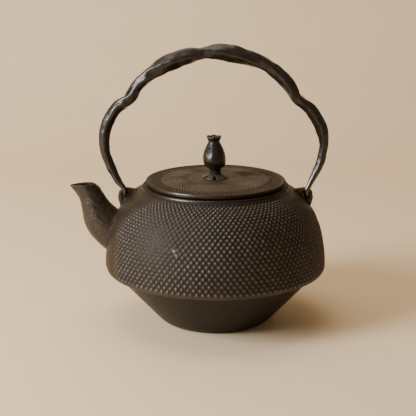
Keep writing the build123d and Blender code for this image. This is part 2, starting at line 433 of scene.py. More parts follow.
def dome_gap(points):
    """Rough distance of points outside the dome; negative inside."""
    return np.hypot(points[..., 0], points[..., 1]) - dome_radius(points[..., 2]) + DOME_INSET


# Spout ribs from root to lip: upper x, z and lower x, z in the middle plane, half width, roundness.
SPOUT_RIBS = [
    (-73.0, 88.0, -84.0, 57.0, 16.5, 2.0),
    (-83.0, 96.0, -95.5, 61.5, 14.6, 1.93),
    (-88.6, 101.0, -108.8, 73.8, 12.6, 1.86),
    (-92.2, 104.6, -114.6, 84.5, 10.9, 1.8),
    (-95.4, 109.0, -116.7, 96.0, 9.4, 1.76),
    (-98.6, 114.2, -118.3, 106.0, 8.3, 1.75),
    (-101.6, 118.6, -121.8, 112.8, 7.4, 1.8),
    (-104.8, 121.2, -127.1, 119.8, 6.4, 1.9),
]
SPOUT_WALL = 2.6
# How far the lip's section is drawn to a point on its lower side.
SPOUT_BEAK = 0.32
# Roughness of the casting: height, size of the bumps and seed.
SPOUT_RIPPLES = [(0.15, 12.0, 3), (0.13, 5.0, 4), (0.11, 2.6, 6)]
# Spout and lugs flare within this distance of the dome.
FLARE_REACH = 3.0
SPOUT_FLARE = 0.5
LUG_FLARE = 0.7


def spout_rings(cols):
    """Rings of the spout: nearly round sections, drawn to a point on the lower side towards the lip."""
    line = smooth_curve(SPOUT_RIBS, 14)
    angle = turns(cols)
    rings = []
    for i, (ux, uz, lx, lz, half_width, power) in enumerate(line):
        upper, lower = np.array([ux, 0, uz]), np.array([lx, 0, lz])
        centre, reach = (upper + lower) / 2, (upper - lower) / 2
        c, s = np.cos(angle), np.sin(angle)
        u = bent(c, 2 / power)
        share = i / (len(line) - 1)
        v = bent(s, 2 / power) * (1 + SPOUT_BEAK * share ** 3 * u)
        rings.append(centre + reach * u[:, None] + np.array([0, half_width, 0]) * v[:, None])
    return np.array(rings)


def spout_outside():
    """The outside of the spout, flared where it meets the dome and worked a little uneven."""
    rings = spout_rings(128)
    middle = rings.mean(1, keepdims=True)
    out = rings - middle
    out /= np.linalg.norm(out, axis=-1, keepdims=True)
    flare = SPOUT_FLARE * np.clip(1 - dome_gap(rings) / FLARE_REACH, 0, 1.4) ** 2
    lip = np.linspace(0, 1, len(rings))[:, None] ** 4
    rough = sum(height * ripple(rings, size, seed) for height, size, seed in SPOUT_RIPPLES)
    rough = rough * (1 - 0.6 * lip)
    rings = rings + out * (flare + rough)[..., None]
    rim = rings[-1:] + (middle[-1:] - rings[-1:]) * 0.06 + np.array([0, 0, 0.35])
    return capped_tube("spout", np.concatenate([rings, rim]))


def spout_bore():
    """The channel through the spout, from inside the body to just above the lip."""
    rings = spout_rings(64)
    middle = rings.mean(1, keepdims=True)
    out = rings - middle
    size = np.linalg.norm(out, axis=-1, keepdims=True)
    inner = middle + out * np.clip(1 - SPOUT_WALL / size, 0.2, 1)
    mouth = middle[-1:] + out[-1:] * 0.84 + np.array([0, 0, 0.1])
    above = middle[-1:] + out[-1:] * 0.9 + np.array([0, 0, 2.0])
    first = inner[:1] + np.array([12.0, 0, -4.0])
    return capped_tube("spout_bore", np.concatenate([first, inner[:-1], mouth, above]))


LUG_HOLE = np.array([78.6, 0.0, 110.95])
LUG_HOLE_HALF = (2.35, 2.25)
# Powers that round the hole's corners and the band's edges.
LUG_HOLE_POWER = 2.6
LUG_EDGE_POWER = 0.55
# Outline of the right lug as (x, z).
LUG_OUTLINE = [
    (85.1, 109.5), (83.9, 114.8), (81.6, 117.2), (78.6, 118.2), (73.0, 117.5), (68.0, 116.6), (66.0, 114.4),
    (71.0, 110.6), (75.6, 106.4), (79.0, 102.0), (82.2, 100.2), (83.8, 103.4),
]
LUG_HALF = 2.3
LUG_COLS = 28


def lug(side):
    """A lug: a flat band round the hole, with rounded edges and a flared root."""
    closed = [*LUG_OUTLINE, LUG_OUTLINE[0]]
    steps = 10
    line = smooth_curve([LUG_OUTLINE[-1], *closed, LUG_OUTLINE[1]], steps)[steps:-steps - 1]
    outline = np.insert(line, 1, 0.0, axis=1)
    way = outline - LUG_HOLE
    way /= np.linalg.norm(way, axis=1, keepdims=True)
    across, tall = np.abs(way[:, 0]) / LUG_HOLE_HALF[0], np.abs(way[:, 2]) / LUG_HOLE_HALF[1]
    power = LUG_HOLE_POWER
    inner = LUG_HOLE + way * ((across ** power + tall ** power) ** (-1 / power))[:, None]
    centre, reach = (outline + inner) / 2, (outline - inner) / 2
    angle = turns(LUG_COLS)
    c, s = np.cos(angle), np.sin(angle)
    u, v = bent(c, LUG_EDGE_POWER), bent(s, LUG_EDGE_POWER)
    thick = np.array([0, LUG_HALF, 0])
    band = centre[:, None] + reach[:, None] * u[None, :, None] + thick * v[None, :, None]
    flare = LUG_FLARE * np.clip(1 - dome_gap(band) / FLARE_REACH, 0, 1.3) ** 2
    band[..., 1] += np.sign(v)[None, :] * flare * (np.abs(v)[None, :] > 0.3)
    band += 0.1 * ripple(band, 6.0, 11)[..., None]
    band[..., 0] *= side
    if side < 0:
        band = band[:, ::-1]
    return looped_tube("lug", band[::-1])


# Heights between which a point can belong to the dotted dome, and how far it may lie off the outline.
DOME_SPAN = (48.8, 118.4)
DOME_SKIN = 1.9
# Relief of plain skin, and of a chip, on the scale from 0 in the valleys to 1 on the dots' tops.
PLAIN_RELIEF = 0.45
CHIP_RELIEF = 1.6


def chip_mask(points):
    """1 in the chips, 0 elsewhere."""
    chips = np.zeros(len(points))
    for turn, z, size in CHIPS:
        angle = math.radians(turn)
        place = np.array([math.cos(angle), math.sin(angle)]) * dome_radius(z)
        away = np.hypot(np.linalg.norm(points[:, :2] - place, axis=1), points[:, 2] - z)
        chips = np.maximum(chips, away < size)
    return chips


def paint_body(target):
    """Relief: how far a point stands out of the dome. Tint: darker skin, and on the cone below the skirt
    partly painted shade. Polish: glossier or duller skin.
    """
    points = mesh_points(target)
    gap = dome_gap(points)
    turn, z = np.arctan2(points[:, 1], points[:, 0]), points[:, 2]
    radius = np.hypot(points[:, 0], points[:, 1])
    cover = np.minimum(*patch_cover(turn, z))
    worn = wear(turn, z)
    dome = (z > DOME_SPAN[0]) & (z < DOME_SPAN[1]) & (np.abs(gap) < DOME_SKIN)
    share = np.where(dome, np.clip(1.6 * cover, 0, 1) * (1 - 0.4 * worn), 0)
    relief = PLAIN_RELIEF + share * (np.clip(gap / DOT_HEIGHT, 0, 1) - PLAIN_RELIEF)
    relief = relief + chip_mask(points) * (CHIP_RELIEF - relief)
    paint(target, "relief", relief)

    plain = np.where(dome, 0.6 * (1 - cover), 0)
    spout = np.clip((gap - 0.8) / 2.0, 0, 1) * (points[:, 0] < -70) * (np.abs(points[:, 1]) < 20)
    neck = np.clip((z - 117.0) / 1.0, 0, 1) * (radius < 68.0)
    # Below the skirt the whole cone takes the dark tint: partly the cone's own dark skin, partly painted
    # shade standing in for the shade of a stand under the kettle.
    paint(target, "tint", np.maximum.reduce([np.clip(46.5 - z, 0, 1), plain, 0.9 * neck, 0.6 * spout]))

    collar = np.clip((z - 119.9) / 0.3, 0, 1) * (radius > 62.0) * (1.4 * rubbed(turn) - 0.5)
    valley = np.where(dome, share * (0.6 - np.clip(relief, 0, 0.6)) * 1.2, 0)
    dull = 0.5 * plain + np.where(dome, 0.45 * worn, 0)
    paint(target, "polish", collar - valley - dull + 0.4 * spout)


def build_body():
    """The kettle's casting: outside, spout and lugs in one, then hollowed."""
    body = body_outer()
    combine(body, spout_outside(), "UNION")
    combine(body, lug(1), "UNION")
    combine(body, lug(-1), "UNION")
    combine(body, body_cavity(), "DIFFERENCE")
    combine(body, spout_bore(), "DIFFERENCE")
    paint_body(body)
    body.data.shade_smooth()
    finish_piece(body, "kettle", "cast_iron_body", "kettle_body")


# ---------------------------------------------------------------- handle
# Bar stations from the left lug to the right one: x, y, z, half size, twist in quarter turns.
BAR = [
    (-79.5, -5.0, 118.4, 1.95, 0.5),
    (-81.9, -4.5, 121.2, 2.45, 0.5),
    (-84.9, -3.2, 125.0, 3.1, 0.5),
    (-90.6, -0.5, 136.2, 3.75, 0.5),
    (-95.2, 0.0, 149.3, 3.95, 0.5),
    (-96.1, 0.0, 160.0, 4.4, 0.5),
    (-94.9, 0.0, 169.5, 4.6, 0.5),
    (-91.2, 0.0, 178.6, 4.6, 0.5),
    (-84.6, 0.0, 188.2, 4.7, 0.5),
    (-79.2, 0.0, 192.0, 4.9, 0.7),
    (-74.6, 0.0, 195.0, 5.0, 1.1),
    (-71.2, 0.0, 199.8, 4.9, 1.4),
    (-67.7, 0.0, 206.0, 4.6, 1.5),
    (-63.4, 0.0, 210.6, 4.7, 1.6),
    (-56.6, 0.0, 216.1, 5.5, 1.9),
    (-44.8, 0.0, 224.0, 6.2, 2.3),
    (-33.0, 0.0, 229.2, 6.5, 2.5),
    (-21.5, 0.0, 232.7, 6.0, 2.6),
    (-13.5, 0.0, 234.0, 5.1, 2.9),
    (-8.5, 0.0, 235.0, 4.9, 3.1),
    (0.2, 0.0, 235.6, 6.0, 3.4),
    (13.1, 0.0, 234.3, 6.6, 3.5),
    (24.8, 0.0, 231.4, 6.3, 3.6),
    (36.0, 0.0, 227.8, 6.0, 3.9),
    (44.1, 0.0, 223.8, 5.2, 4.2),
    (51.2, 0.0, 218.6, 5.3, 4.4),
    (59.2, 0.0, 211.2, 5.4, 4.5),
    (64.9, 0.0, 203.7, 5.0, 4.7),
    (68.6, 0.0, 197.0, 4.8, 5.0),
    (73.6, 0.0, 192.4, 4.3, 5.3),
    (80.3, 0.0, 187.4, 4.7, 5.5),
    (85.8, 0.0, 180.0, 4.9, 5.5),
    (90.7, 0.0, 170.5, 4.9, 5.5),
    (93.1, 0.0, 159.4, 3.9, 5.5),
    (93.3, 0.0, 152.4, 3.4, 5.5),
    (90.5, -0.3, 139.4, 3.6, 5.5),
    (86.4, -1.8, 130.6, 3.2, 5.5),
    (82.6, -3.9, 123.4, 2.4, 5.5),
    (80.6, -4.9, 119.0, 2.0, 5.5),
]
BAR_ROWS = 620
BAR_COLS = 56
PIVOT_Z = frame["joints"][0]["pos_m"][2] / MM
HOOK_BEND = 5.0
HOOK_R = 1.95
# The hooks are a little wider than they are thick.
HOOK_SPREAD = 1.1
# The bar's section by half size: the power of its rounded square, from round at the hooks to square above.
BAR_SQUARENESS = [(1.7, 2.0), (3.0, 2.6), (4.5, 3.3)]
# Hammer dents of the bar: number, radius, depth and seed.
BAR_DENTS = (420, 4.2, 0.34, 21)
# The bar is rubbed glossy up to this height above the pivot.
BAR_RUBBED_HEIGHT = 22.0
# The hook's turn in degrees from the tip behind the lug to the leg in front of it, and its thickness.
HOOK_TURNS = [
    (4, 0.5), (-10, 0.85), (-35, 1.0), (-62, 1.0), (-90, 1.0), (-120, 1.0), (-150, 1.0), (-180, 1.0),
]


def hook_stations(side, twist):
    """The hook under the lug's top bar, from the tip to the front leg: stations like the bar's."""
    stations = []
    for turn, thickness in HOOK_TURNS:
        y, up = HOOK_BEND * math.cos(math.radians(turn)), HOOK_BEND * math.sin(math.radians(turn))
        stations.append((side * LUG_HOLE[0], y, PIVOT_Z + up, thickness * HOOK_R, twist))
    return stations


def transported_frames(line):
    """Side and up directions along a line that turn with it but don't twist, square to +Y at its middle."""
    tangent = np.gradient(line, axis=0)
    tangent /= np.linalg.norm(tangent, axis=1, keepdims=True)
    middle = len(line) // 2
    side = np.zeros_like(line)
    side[middle] = (0, 1, 0)
    for order in (range(middle + 1, len(line)), range(middle - 1, -1, -1)):
        previous = side[middle]
        for i in order:
            previous = previous - tangent[i] * (previous @ tangent[i])
            previous = previous / np.linalg.norm(previous)
            side[i] = previous
    return side, np.cross(tangent, side)


def build_handle():
    """The forged bar: a rounded square section that twists at each knuckle, dented by the hammer."""
    stations = [*hook_stations(-1, BAR[0][4]), *BAR, *hook_stations(1, BAR[-1][4])[::-1]]
    line = resample(smooth_curve(stations, 9), BAR_ROWS, place=3)
    centre, half, twist = line[:, :3], line[:, 3], line[:, 4]
    side, up = transported_frames(centre)
    angle = turns(BAR_COLS)
    twisted = angle[None, :] - (twist * math.pi / 2)[:, None]
    power = np.interp(half, *zip(*BAR_SQUARENESS))[:, None]
    bulk = np.abs(np.cos(twisted)) ** power + np.abs(np.sin(twisted)) ** power
    radius = half[:, None] * bulk ** (-1 / power)
    c, s = np.cos(angle)[None, :, None], np.sin(angle)[None, :, None]
    widening = np.interp(half, [HOOK_R, 2.6], [HOOK_SPREAD, 1.0])[:, None, None]
    way = side[:, None] * c + up[:, None] * s * widening
    rings = centre[:, None] + way * radius[..., None]
    strength = np.interp(half, [1.8, 3.5], [0.15, 1.0])[:, None]
    push = -hammer_dents(rings, *BAR_DENTS) + 0.16 * ripple(rings, 13.0, 5)
    rings = rings + way * (push * strength)[..., None]
    tube = capped_tube("forged_handle", rings)
    rise = mesh_points(tube)[:, 2] - PIVOT_Z
    paint(tube, "tint", np.zeros(len(rise)))
    paint(tube, "polish", 0.6 * np.clip(1 - rise / BAR_RUBBED_HEIGHT, 0, 1))
    finish_piece(tube, "handle", "forged_iron", "handle")


# ---------------------------------------------------------------- lid
# Fine dots of the lid, placed as on the body.
LID_DOTS_ROUND = 112
LID_DOT_ROW_RATIO = 0.65
LID_DOT_HEIGHT = 0.95
# The valleys between the dots lie below the plain top by this share of the dots' height.
LID_DOT_SINK = 0.3
LID_DOT_STEPS_ROUND = 10
LID_DOT_STEPS_ROW = 6
# Towards the centre the dots get lower over this many rows.
LID_ROWS_FADE = 9.0
LID_RIM_Z = LID_TOP - 1.5
LID_UNDER_Z = LID_LOW.z + 6.5
LID_DISC_R = 47.0
LID_DOTS_INNER_R = 22.0
LID_DOTS_OUTER_R = 57.8
# The rim as (radius past LID_R, height over LID_RIM_Z), from the dots' outer end to the lid's side.
LID_RIM = [
    (-1.9, -0.25), (-1.3, 0.0), (-0.6, 0.1), (0.0, 0.08), (0.35, -0.06), (0.55, -0.3), (0.66, -0.7),
    (0.68, -1.2), (0.5, -2.2),
]
RING_OUTER = 52.6
RING_INNER = 50.0
# Relief of the lid's plain parts, on the scale from 0 in the valleys to 1 on the dots' tops.
LID_PLAIN_RELIEF = 0.22


def lid_surface_z(r):
    """Height of the lid's plain top at a radius."""
    rim = LID_RIM_Z
    disc = np.interp(r, [14.0, 30.0, LID_DISC_R - 1.0], [LID_TOP, LID_TOP - 0.3, rim + 0.35])
    outer = np.interp(r, [LID_DISC_R + 0.6, 56.0, 58.0], [rim - 0.3, rim - 0.4, rim - 0.3])
    blend = ease(np.clip((r - (LID_DISC_R - 1.0)) / 1.6, 0, 1))
    return disc * (1 - blend) + outer * blend


def lid_field(angle):
    """The dotted part of the lid's top, from the inside out."""
    row_ratio = LID_DOT_ROW_RATIO * 2 * math.pi / LID_DOTS_ROUND
    rows_total = math.log(LID_DOTS_OUTER_R / LID_DOTS_INNER_R) / row_ratio
    row = np.arange(0, rows_total, 1 / LID_DOT_STEPS_ROW)
    r = LID_DOTS_OUTER_R * np.exp(-row * row_ratio)
    last = int(row[-1])

    def keep(dot_angle, k):
        """Height of the dots of row k: none in row 0, and lower towards the centre."""
        return np.clip((last - k) / LID_ROWS_FADE, 0, 1) * (k > 0) * np.ones_like(dot_angle)

    dots = dot_field(angle, row, r, LID_DOT_ROW_RATIO, LID_DOTS_ROUND, keep, RNG)
    z = lid_surface_z(r)[:, None] + LID_DOT_HEIGHT * (dots - LID_DOT_SINK)
    return around(r[:, None], angle, z)[::-1]


def lid_underside():
    """Outline from the lid's side over the locating ring to the pin's hole, as (radius, height)."""
    under, low = LID_UNDER_Z, LID_LOW.z
    edge = [
        (LID_R + 0.1, under + 0.9), (LID_R - 0.6, under + 0.3), (LID_R - 1.6, under),
        (RING_OUTER + 0.5, under),
    ]
    ring = [
        (RING_OUTER, under - 0.5), (RING_OUTER, low + 0.6), (RING_OUTER - 0.5, low),
        (RING_INNER + 0.5, low), (RING_INNER, low + 0.6),
    ]
    inside = [
        (RING_INNER, under - 0.4), (RING_INNER - 0.6, under + 0.1), (30.0, LID_TOP - 4.6),
        (13.0, LID_TOP - 3.2), (PIN_HOLE_R + 0.3, LID_TOP - 3.2), (PIN_HOLE_R, LID_TOP - 2.9),
    ]
    return [*edge, *ring, *inside]


def paint_lid(plate):
    """Relief of the dots, darker outer ring and underside, rim rubbed bright in front."""
    points = mesh_points(plate)
    r = np.hypot(points[:, 0], points[:, 1])
    turn = np.arctan2(points[:, 1], points[:, 0])
    height = (points[:, 2] - lid_surface_z(r)) / LID_DOT_HEIGHT + LID_DOT_SINK
    top = points[:, 2] > LID_RIM_Z - 1.0
    dotted = np.clip((r - LID_DOTS_INNER_R) / 9.0, 0, 1) * (r < LID_DOTS_OUTER_R - 0.1) * top
    paint(plate, "relief", LID_PLAIN_RELIEF + dotted * (np.clip(height, 0, 1) - LID_PLAIN_RELIEF))
    centre = 1 - np.clip((r - LID_DOTS_INNER_R + 2) / 11.0, 0, 1)
    annulus = 0.75 * np.clip((r - LID_DISC_R + 1) / 2, 0, 1)
    side_r = LID_R - 0.1
    paint(plate, "tint", np.where(top & (r < side_r), np.maximum(annulus, 0.22 * centre), 1.0))
    side = np.clip((r - side_r) / 0.4, 0, 1) * (1.25 * rubbed(turn) - 0.15)
    paint(plate, "polish", side - 0.4 * centre)


def build_lid():
    """The lid: a turned plate with fine dots, a raised rim, a locating ring below and a centre hole."""
    cols = LID_DOTS_ROUND * LID_DOT_STEPS_ROUND
    angle = turns(cols)
    field = lid_field(angle)
    centre = np.linspace(PIN_HOLE_R + 0.4, math.hypot(*field[0, 0, :2]) - 0.4, 22)
    centre = np.vstack([[(PIN_HOLE_R, LID_TOP - 0.3)], np.stack([centre, lid_surface_z(centre)], 1)])
    rim = [(LID_R + past, LID_RIM_Z + rise) for past, rise in LID_RIM]
    rest = np.array([*rim, *lid_underside()])
    rings = np.concatenate([revolve(centre, cols), field, revolve(rest, cols)])
    plate = looped_tube("lid_plate", rings[::-1])
    paint_lid(plate)
    finish_piece(plate, "lid", "cast_iron_lid", "lid")


# ---------------------------------------------------------------- knob
KNOB_COLS = 168
# Outline as (radius, height): the side above the foot, and the crown's top against the knob's highest point.
KNOB_SIDE = [
    (5.3, 0.0), (4.7, 1.4), (4.6, 3.2), (5.4, 4.9), (7.3, 6.1), (8.9, 7.9), (9.8, 10.8), (10.0, 13.8),
    (9.5, 17.6), (8.2, 21.6), (6.4, 25.4), (5.2, 27.9), (5.1, 29.2), (5.8, 31.2), (6.6, 32.6),
]
KNOB_CROWN = [
    (6.5, -0.7), (5.8, -0.15), (5.1, -0.5), (4.2, -1.5), (2.6, -1.9), (1.6, -1.2), (0.8, -0.5),
    (0.15, -0.35),
]
KNOB_RIDGES = 6
# One ridge stands at this turn; the others follow evenly.
KNOB_EDGE_TURN = math.radians(-90 - 12)
# How strongly the ridges show, against height above the foot.
RIDGE_SHARE = [(5.0, 0.0), (10.0, 0.10), (22.0, 0.12)]
# A shallow dent above the bulb's widest part, to the left of the front: turn, height, depth and size.
DENT_TURN = math.radians(-127)
DENT_RISE = 18.6
DENT_DEPTH = 0.75
DENT_SIZE = (0.42, 2.6)
# A small casting pit: turn, distance from the axis, height, depth and size.
PIT_TURN = math.radians(-90 - 33)
PIT_R = 7.0
PIT_RISE = 23.2
PIT_DEPTH = 1.3
PIT_SIZE = 1.15
# How far the crown's lobes stand out, as a share of the radius, and how deep the dips between them are.
LOBE_OUT = 0.10
LOBE_DIP = 0.55
# The hand-made knob leans a little towards the spout: height above its foot, and how far it is off centre.
KNOB_LEAN = [(0.0, 0.0), (5.0, 0.45), (14.0, 1.15), (34.0, 1.5)]


def knob_profile():
    """The knob's outline as (radius, height), from the foot's centre over the crown to the top's centre."""
    low, top = KNOB_LOW.z, KNOB_HIGH.z
    side = np.array(KNOB_SIDE) + (0, low)
    crown = np.array(KNOB_CROWN) + (0, top)
    outside = resample(smooth_curve(side, 12), 150)
    return np.vstack([[(0.3, low)], [(4.4, low)], outside, smooth_curve(crown, 4)])


def build_knob():
    """The bud-shaped knob: six soft ridges, a flared crown of lobes, a dent and one small casting pit."""
    low = KNOB_LOW.z
    rings = revolve(knob_profile(), KNOB_COLS)
    angle = turns(KNOB_COLS)
    height = rings[:, :1, 2] - low
    crown = np.interp(height, [29, 32], [0.0, 1.0])

    sector = 2 * math.pi / KNOB_RIDGES
    facet = math.cos(sector / 2) / np.cos((angle - KNOB_EDGE_TURN) % sector - sector / 2)
    ridges = np.interp(height, *zip(*RIDGE_SHARE)) * (1 - crown)
    scale = 1 + ridges * (facet[None, :] * 1.06 - 1.0)
    lobes = 0.5 + 0.5 * np.cos(KNOB_RIDGES * (angle - KNOB_EDGE_TURN - 0.2))
    scale = scale * (1 + crown * LOBE_OUT * (lobes[None, :] - 0.5))
    rings[..., :2] *= scale[..., None]
    radius = np.hypot(rings[..., 0], rings[..., 1])
    rings[..., 2] += crown * np.clip(radius / 5.0, 0, 1) ** 3 * LOBE_DIP * (lobes[None, :] - 1)

    way = rings * np.array([1, 1, 0])
    way /= np.maximum(np.linalg.norm(way, axis=-1, keepdims=True), TINY)
    pit_place = np.array([PIT_R * math.cos(PIT_TURN), PIT_R * math.sin(PIT_TURN), low + PIT_RISE])
    q = np.linalg.norm((rings - pit_place) * np.array([1, 1, 0.8]), axis=-1) / PIT_SIZE
    pit = PIT_DEPTH * np.clip(1 - q * q, 0, 1)
    across, up = wrapped(angle - DENT_TURN) / DENT_SIZE[0], (height - DENT_RISE) / DENT_SIZE[1]
    dent = DENT_DEPTH * np.exp(-up ** 2) * np.exp(-across ** 2)[None, :]
    rough = 0.03 * ripple(rings, 5.0, 9) * np.clip((rings[..., 2] - low) / 4, 0, 1)
    rings = rings + way * (rough - dent - pit)[..., None]
    rings[..., 0] -= np.interp(rings[..., 2] - low, *zip(*KNOB_LEAN))
    bud = capped_tube("knob_bud", rings)
    paint_knob(bud)
    finish_piece(bud, "knob", "knob_metal", "knob")


def paint_knob(bud):
    """A duller stem, and a duller shoulder above the bulb's widest part."""
    rise = mesh_points(bud)[:, 2] - KNOB_LOW.z
    stem = np.clip((5.4 - rise) / 1.6, 0, 1)
    upper = np.clip((rise - 17.5) / 4.0, 0, 1) * np.clip((28.5 - rise) / 2.0, 0.3, 1)
    paint(bud, "tint", np.maximum(stem, 0.8 * upper))
    paint(bud, "polish", -0.7 * stem - 0.3 * upper)


# ---------------------------------------------------------------- petal washer and fixings
SEAT_GAP_TURN = math.radians(-93)
SEAT_PETALS = 6
SEAT_R = 11.0
SEAT_GAP_R = 5.8
SEAT_TOP_R = 5.2
SEAT_EDGE = 1.1
SEAT_HOLE_R = 2.4
SEAT_STEPS = 34
SEAT_COLS = 480
# Half width of a gap in degrees, and how many more degrees its side takes.
SEAT_GAP_HALF = 6.5
SEAT_GAP_SIDE = 5.5
# Shape of a petal: roundness of its tip, hollowness of its slope and swell of its top.
PETAL_TIP = 0.07
PETAL_SLOPE = 1.35
PETAL_SWELL = 0.35
# The rivet's head as (radius, height above its lowest point), and its dents: number, radius, depth and seed.
PIN_HEAD = [
    (0.2, 0.0), (1.6, 0.05), (2.9, 0.35), (3.9, 0.95), (4.2, 1.4), (4.1, 1.75), (2.2, 1.8), (2.2, 3.0),
]
PIN_DENTS = (60, 1.3, 0.2, 31)


def build_seat():
    """The petal washer: a low trumpet of six petals, with a narrow gap between each pair."""
    low, high = SEAT_LOW.z, SEAT_HIGH.z
    angle = turns(SEAT_COLS)
    sector = 2 * math.pi / SEAT_PETALS
    off_gap = np.abs((angle - SEAT_GAP_TURN + sector / 2) % sector - sector / 2)
    side = ease(np.clip((np.degrees(off_gap) - SEAT_GAP_HALF) / SEAT_GAP_SIDE, 0, 1))
    petal = 1 - PETAL_TIP * (1 - np.sin(math.pi * off_gap / sector)) ** 2
    reach = SEAT_GAP_R + (SEAT_R * petal - SEAT_GAP_R) * side
    inner_r = SEAT_TOP_R - 1.5
    rings = []
    for t in np.linspace(0, 1, SEAT_STEPS):
        r = inner_r + (reach - inner_r) * t
        share = np.clip((SEAT_R - r) / (SEAT_R - SEAT_TOP_R), 0, 1)
        crest = low + SEAT_EDGE + (high - low - SEAT_EDGE) * share ** PETAL_SLOPE
        crown = PETAL_SWELL * side * math.sin(math.pi * t)
        rings.append(around(r, angle, np.minimum(crest + crown, high)))
    edge_height = rings[-1][:, 2] - low
    for past, share in ((0.2, 0.8), (0.25, 0.4), (0.1, 0.1), (-0.2, 0.0)):
        rings.append(around(reach + past, angle, low + share * edge_height))
    hole = SEAT_HOLE_R
    for r, z in ((5.0, low), (hole + 0.5, low), (hole, low + 0.2), (hole, high - 0.2)):
        rings.append(around(r, angle, z))
    rings = np.array(rings)
    skin = rings[1:SEAT_STEPS]
    skin -= np.array([0, 0, 0.06]) * (1 + ripple(skin, 4.0, 17))[..., None]
    washer = looped_tube("petal_washer", rings[::-1])
    finish_piece(washer, "petal_washer", "knob_metal", "knob_seat", look="petal_iron")


def build_pin():
    """The pin under the knob, with a hammered rivet head below the lid."""
    low, top = PIN_LOW.z, PIN_HIGH.z
    head = [(r, low + rise) for r, rise in PIN_HEAD]
    rings = revolve(np.array([*head, (2.2, top - 0.5), (1.7, top), (0.2, top)]), 72)
    dents = hammer_dents(rings, *PIN_DENTS) * (rings[..., 2] < low + 1.5)
    rings[..., 2] += dents
    finish_piece(capped_tube("rivet_pin", rings), "knob", "pin_steel", "knob_pin")


def build_washer():
    """The flat washer between rivet head and lid, with worn edges."""
    bottom, top = WASHER_LOW.z, WASHER_HIGH.z
    section = [
        (2.6, top), (7.5, top), (7.95, top - 0.3), (8.0, bottom + 0.4), (7.6, bottom + 0.05), (2.8, bottom),
        (2.35, bottom + 0.3), (2.35, top - 0.2),
    ]
    ring = revolve(np.array(section), 96)
    ring[..., 2] += 0.05 * ripple(ring, 5.0, 13)
    finish_piece(looped_tube("flat_washer", ring[::-1]), "knob", "pin_steel", "pin_washer")


# ---------------------------------------------------------------- materials
def node(tree, kind, **settings):
    """A new node with its settings."""
    made = tree.nodes.new(kind)
    for key, value in settings.items():
        setattr(made, key, value)
    return made


def noise(tree, size_mm, detail=4.0, rough=0.55):
    """Noise with features of about this size."""
    texture = node(tree, "ShaderNodeTexNoise")
    texture.inputs["Scale"].default_value = 1.0 / (size_mm * MM)
    texture.inputs["Detail"].default_value = detail
    texture.inputs["Roughness"].default_value = rough
    coords = node(tree, "ShaderNodeTexCoord")
    tree.links.new(coords.outputs["Object"], texture.inputs["Vector"])
    return texture.outputs["Fac"]


def spread(tree, value, low, high, out_low=0.0, out_high=1.0):
    """A value stretched from one range to another and clamped."""
    stretch = node(tree, "ShaderNodeMapRange")
    for name, number in (("From Min", low), ("From Max", high), ("To Min", out_low), ("To Max", out_high)):
        stretch.inputs[name].default_value = number
    tree.links.new(value, stretch.inputs["Value"])
    return stretch.outputs["Result"]


def feed(tree, socket, value):
    """Set a socket to a number or a colour, or link it."""
    if isinstance(value, tuple):
        socket.default_value = (*value, 1)
    elif isinstance(value, float):
        socket.default_value = value
    else:
        tree.links.new(value, socket)


def mix(tree, share, first, second):
    """A colour between two colours or links."""
    blend = node(tree, "ShaderNodeMix", data_type="RGBA")
    share_socket, first_socket, second_socket = (blend.inputs[i] for i in (0, 6, 7))
    feed(tree, share_socket, share)
    feed(tree, first_socket, first)
    feed(tree, second_socket, second)
    return blend.outputs[2]


def maths(tree, operation, first, second):
    """A link combined with another link or a number."""
    made = node(tree, "ShaderNodeMath", operation=operation)
    feed(tree, made.inputs[0], first)
    feed(tree, made.inputs[1], second)
    return made.outputs[0]


def times(tree, first, second):
    """The product of a link and a link or number."""
    return maths(tree, "MULTIPLY", first, second)


def plus(tree, first, second):
    """The sum of a link and a link or number."""
    return maths(tree, "ADD", first, second)


def painted(tree, name):
    """A number that was painted on the mesh."""
    return node(tree, "ShaderNodeAttribute", attribute_name=name).outputs["Fac"]


# A chip shows bare iron.
BARE_IRON = (0.24, 0.23, 0.225)
# Pointiness of plain and of worn edges.
EDGE_WEAR = (0.52, 0.6)


